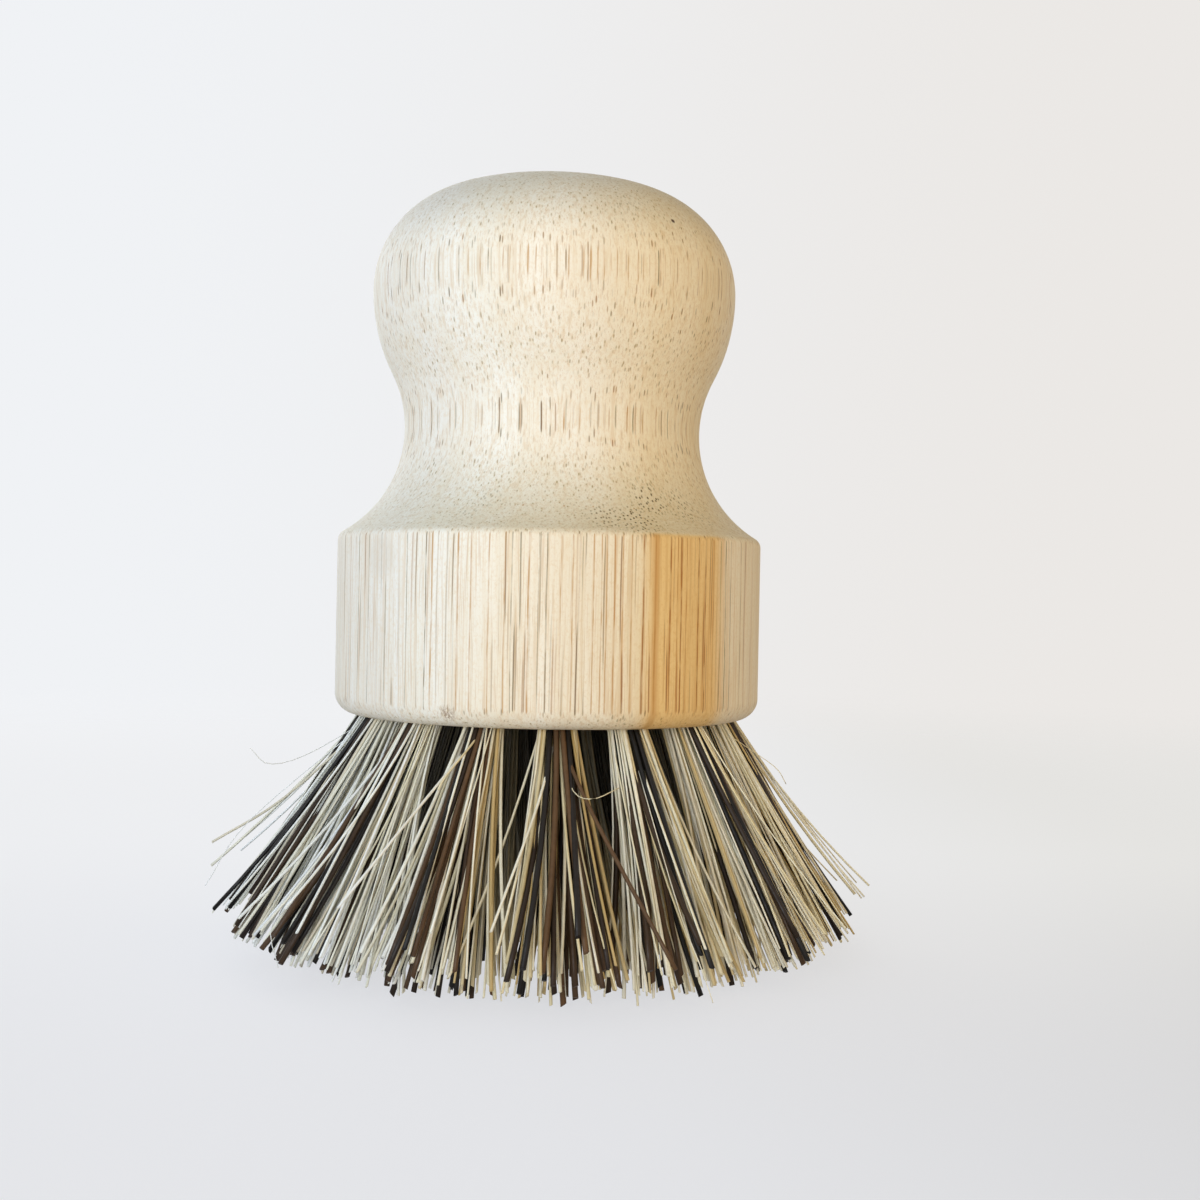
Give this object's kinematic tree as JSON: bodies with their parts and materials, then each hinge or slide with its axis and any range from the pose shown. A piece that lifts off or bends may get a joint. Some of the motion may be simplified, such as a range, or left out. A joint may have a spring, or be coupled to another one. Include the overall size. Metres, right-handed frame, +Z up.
{
  "type": "dish brush",
  "caption": "Palm-grip dish brush: a turned bamboo handle with knob, waist and round collar, its underside drilled for flared tufts of mixed plant fibre.",
  "frame": {"origin": "on the surface that the fibre tips stand on, under the centre of the handle", "axes": "+Z up along the handle's axis, from the fibre tips to the knob; -Y is the front, the side that the picture shows"},
  "size_m": [0.081, 0.081, 0.0953],
  "materials": {
    "bamboo": "turned and sanded laminated bamboo, satin, lightly oiled",
    "plant_fibre": "stiff natural bristle, pale agave fibre mixed with brown palm fibre, matt",
    "anchor_metal": "flat galvanised strip, hidden in the holes"
  },
  "bodies": {
    "root": {"bamboo_ply_1": "bamboo", "bamboo_ply_2": "bamboo", "bamboo_ply_3": "bamboo", "bamboo_ply_4": "bamboo", "bamboo_ply_5": "bamboo", "bamboo_ply_6": "bamboo", "bamboo_ply_7": "bamboo", "bamboo_ply_8": "bamboo", "outer_tuft_01": "plant_fibre", "outer_tuft_02": "plant_fibre", "outer_tuft_03": "plant_fibre", "outer_tuft_04": "plant_fibre", "outer_tuft_05": "plant_fibre", "outer_tuft_06": "plant_fibre", "outer_tuft_07": "plant_fibre", "outer_tuft_08": "plant_fibre", "outer_tuft_09": "plant_fibre", "outer_tuft_10": "plant_fibre", "outer_tuft_11": "plant_fibre", "outer_tuft_12": "plant_fibre", "outer_tuft_13": "plant_fibre", "outer_tuft_14": "plant_fibre", "outer_tuft_15": "plant_fibre", "outer_tuft_16": "plant_fibre", "middle_tuft_01": "plant_fibre", "middle_tuft_02": "plant_fibre", "middle_tuft_03": "plant_fibre", "middle_tuft_04": "plant_fibre", "middle_tuft_05": "plant_fibre", "middle_tuft_06": "plant_fibre", "middle_tuft_07": "plant_fibre", "middle_tuft_08": "plant_fibre", "middle_tuft_09": "plant_fibre", "middle_tuft_10": "plant_fibre", "inner_tuft_01": "plant_fibre", "inner_tuft_02": "plant_fibre", "inner_tuft_03": "plant_fibre", "inner_tuft_04": "plant_fibre", "outer_anchors": "anchor_metal", "middle_anchors": "anchor_metal", "inner_anchors": "anchor_metal"}
  },
  "joints": []
}
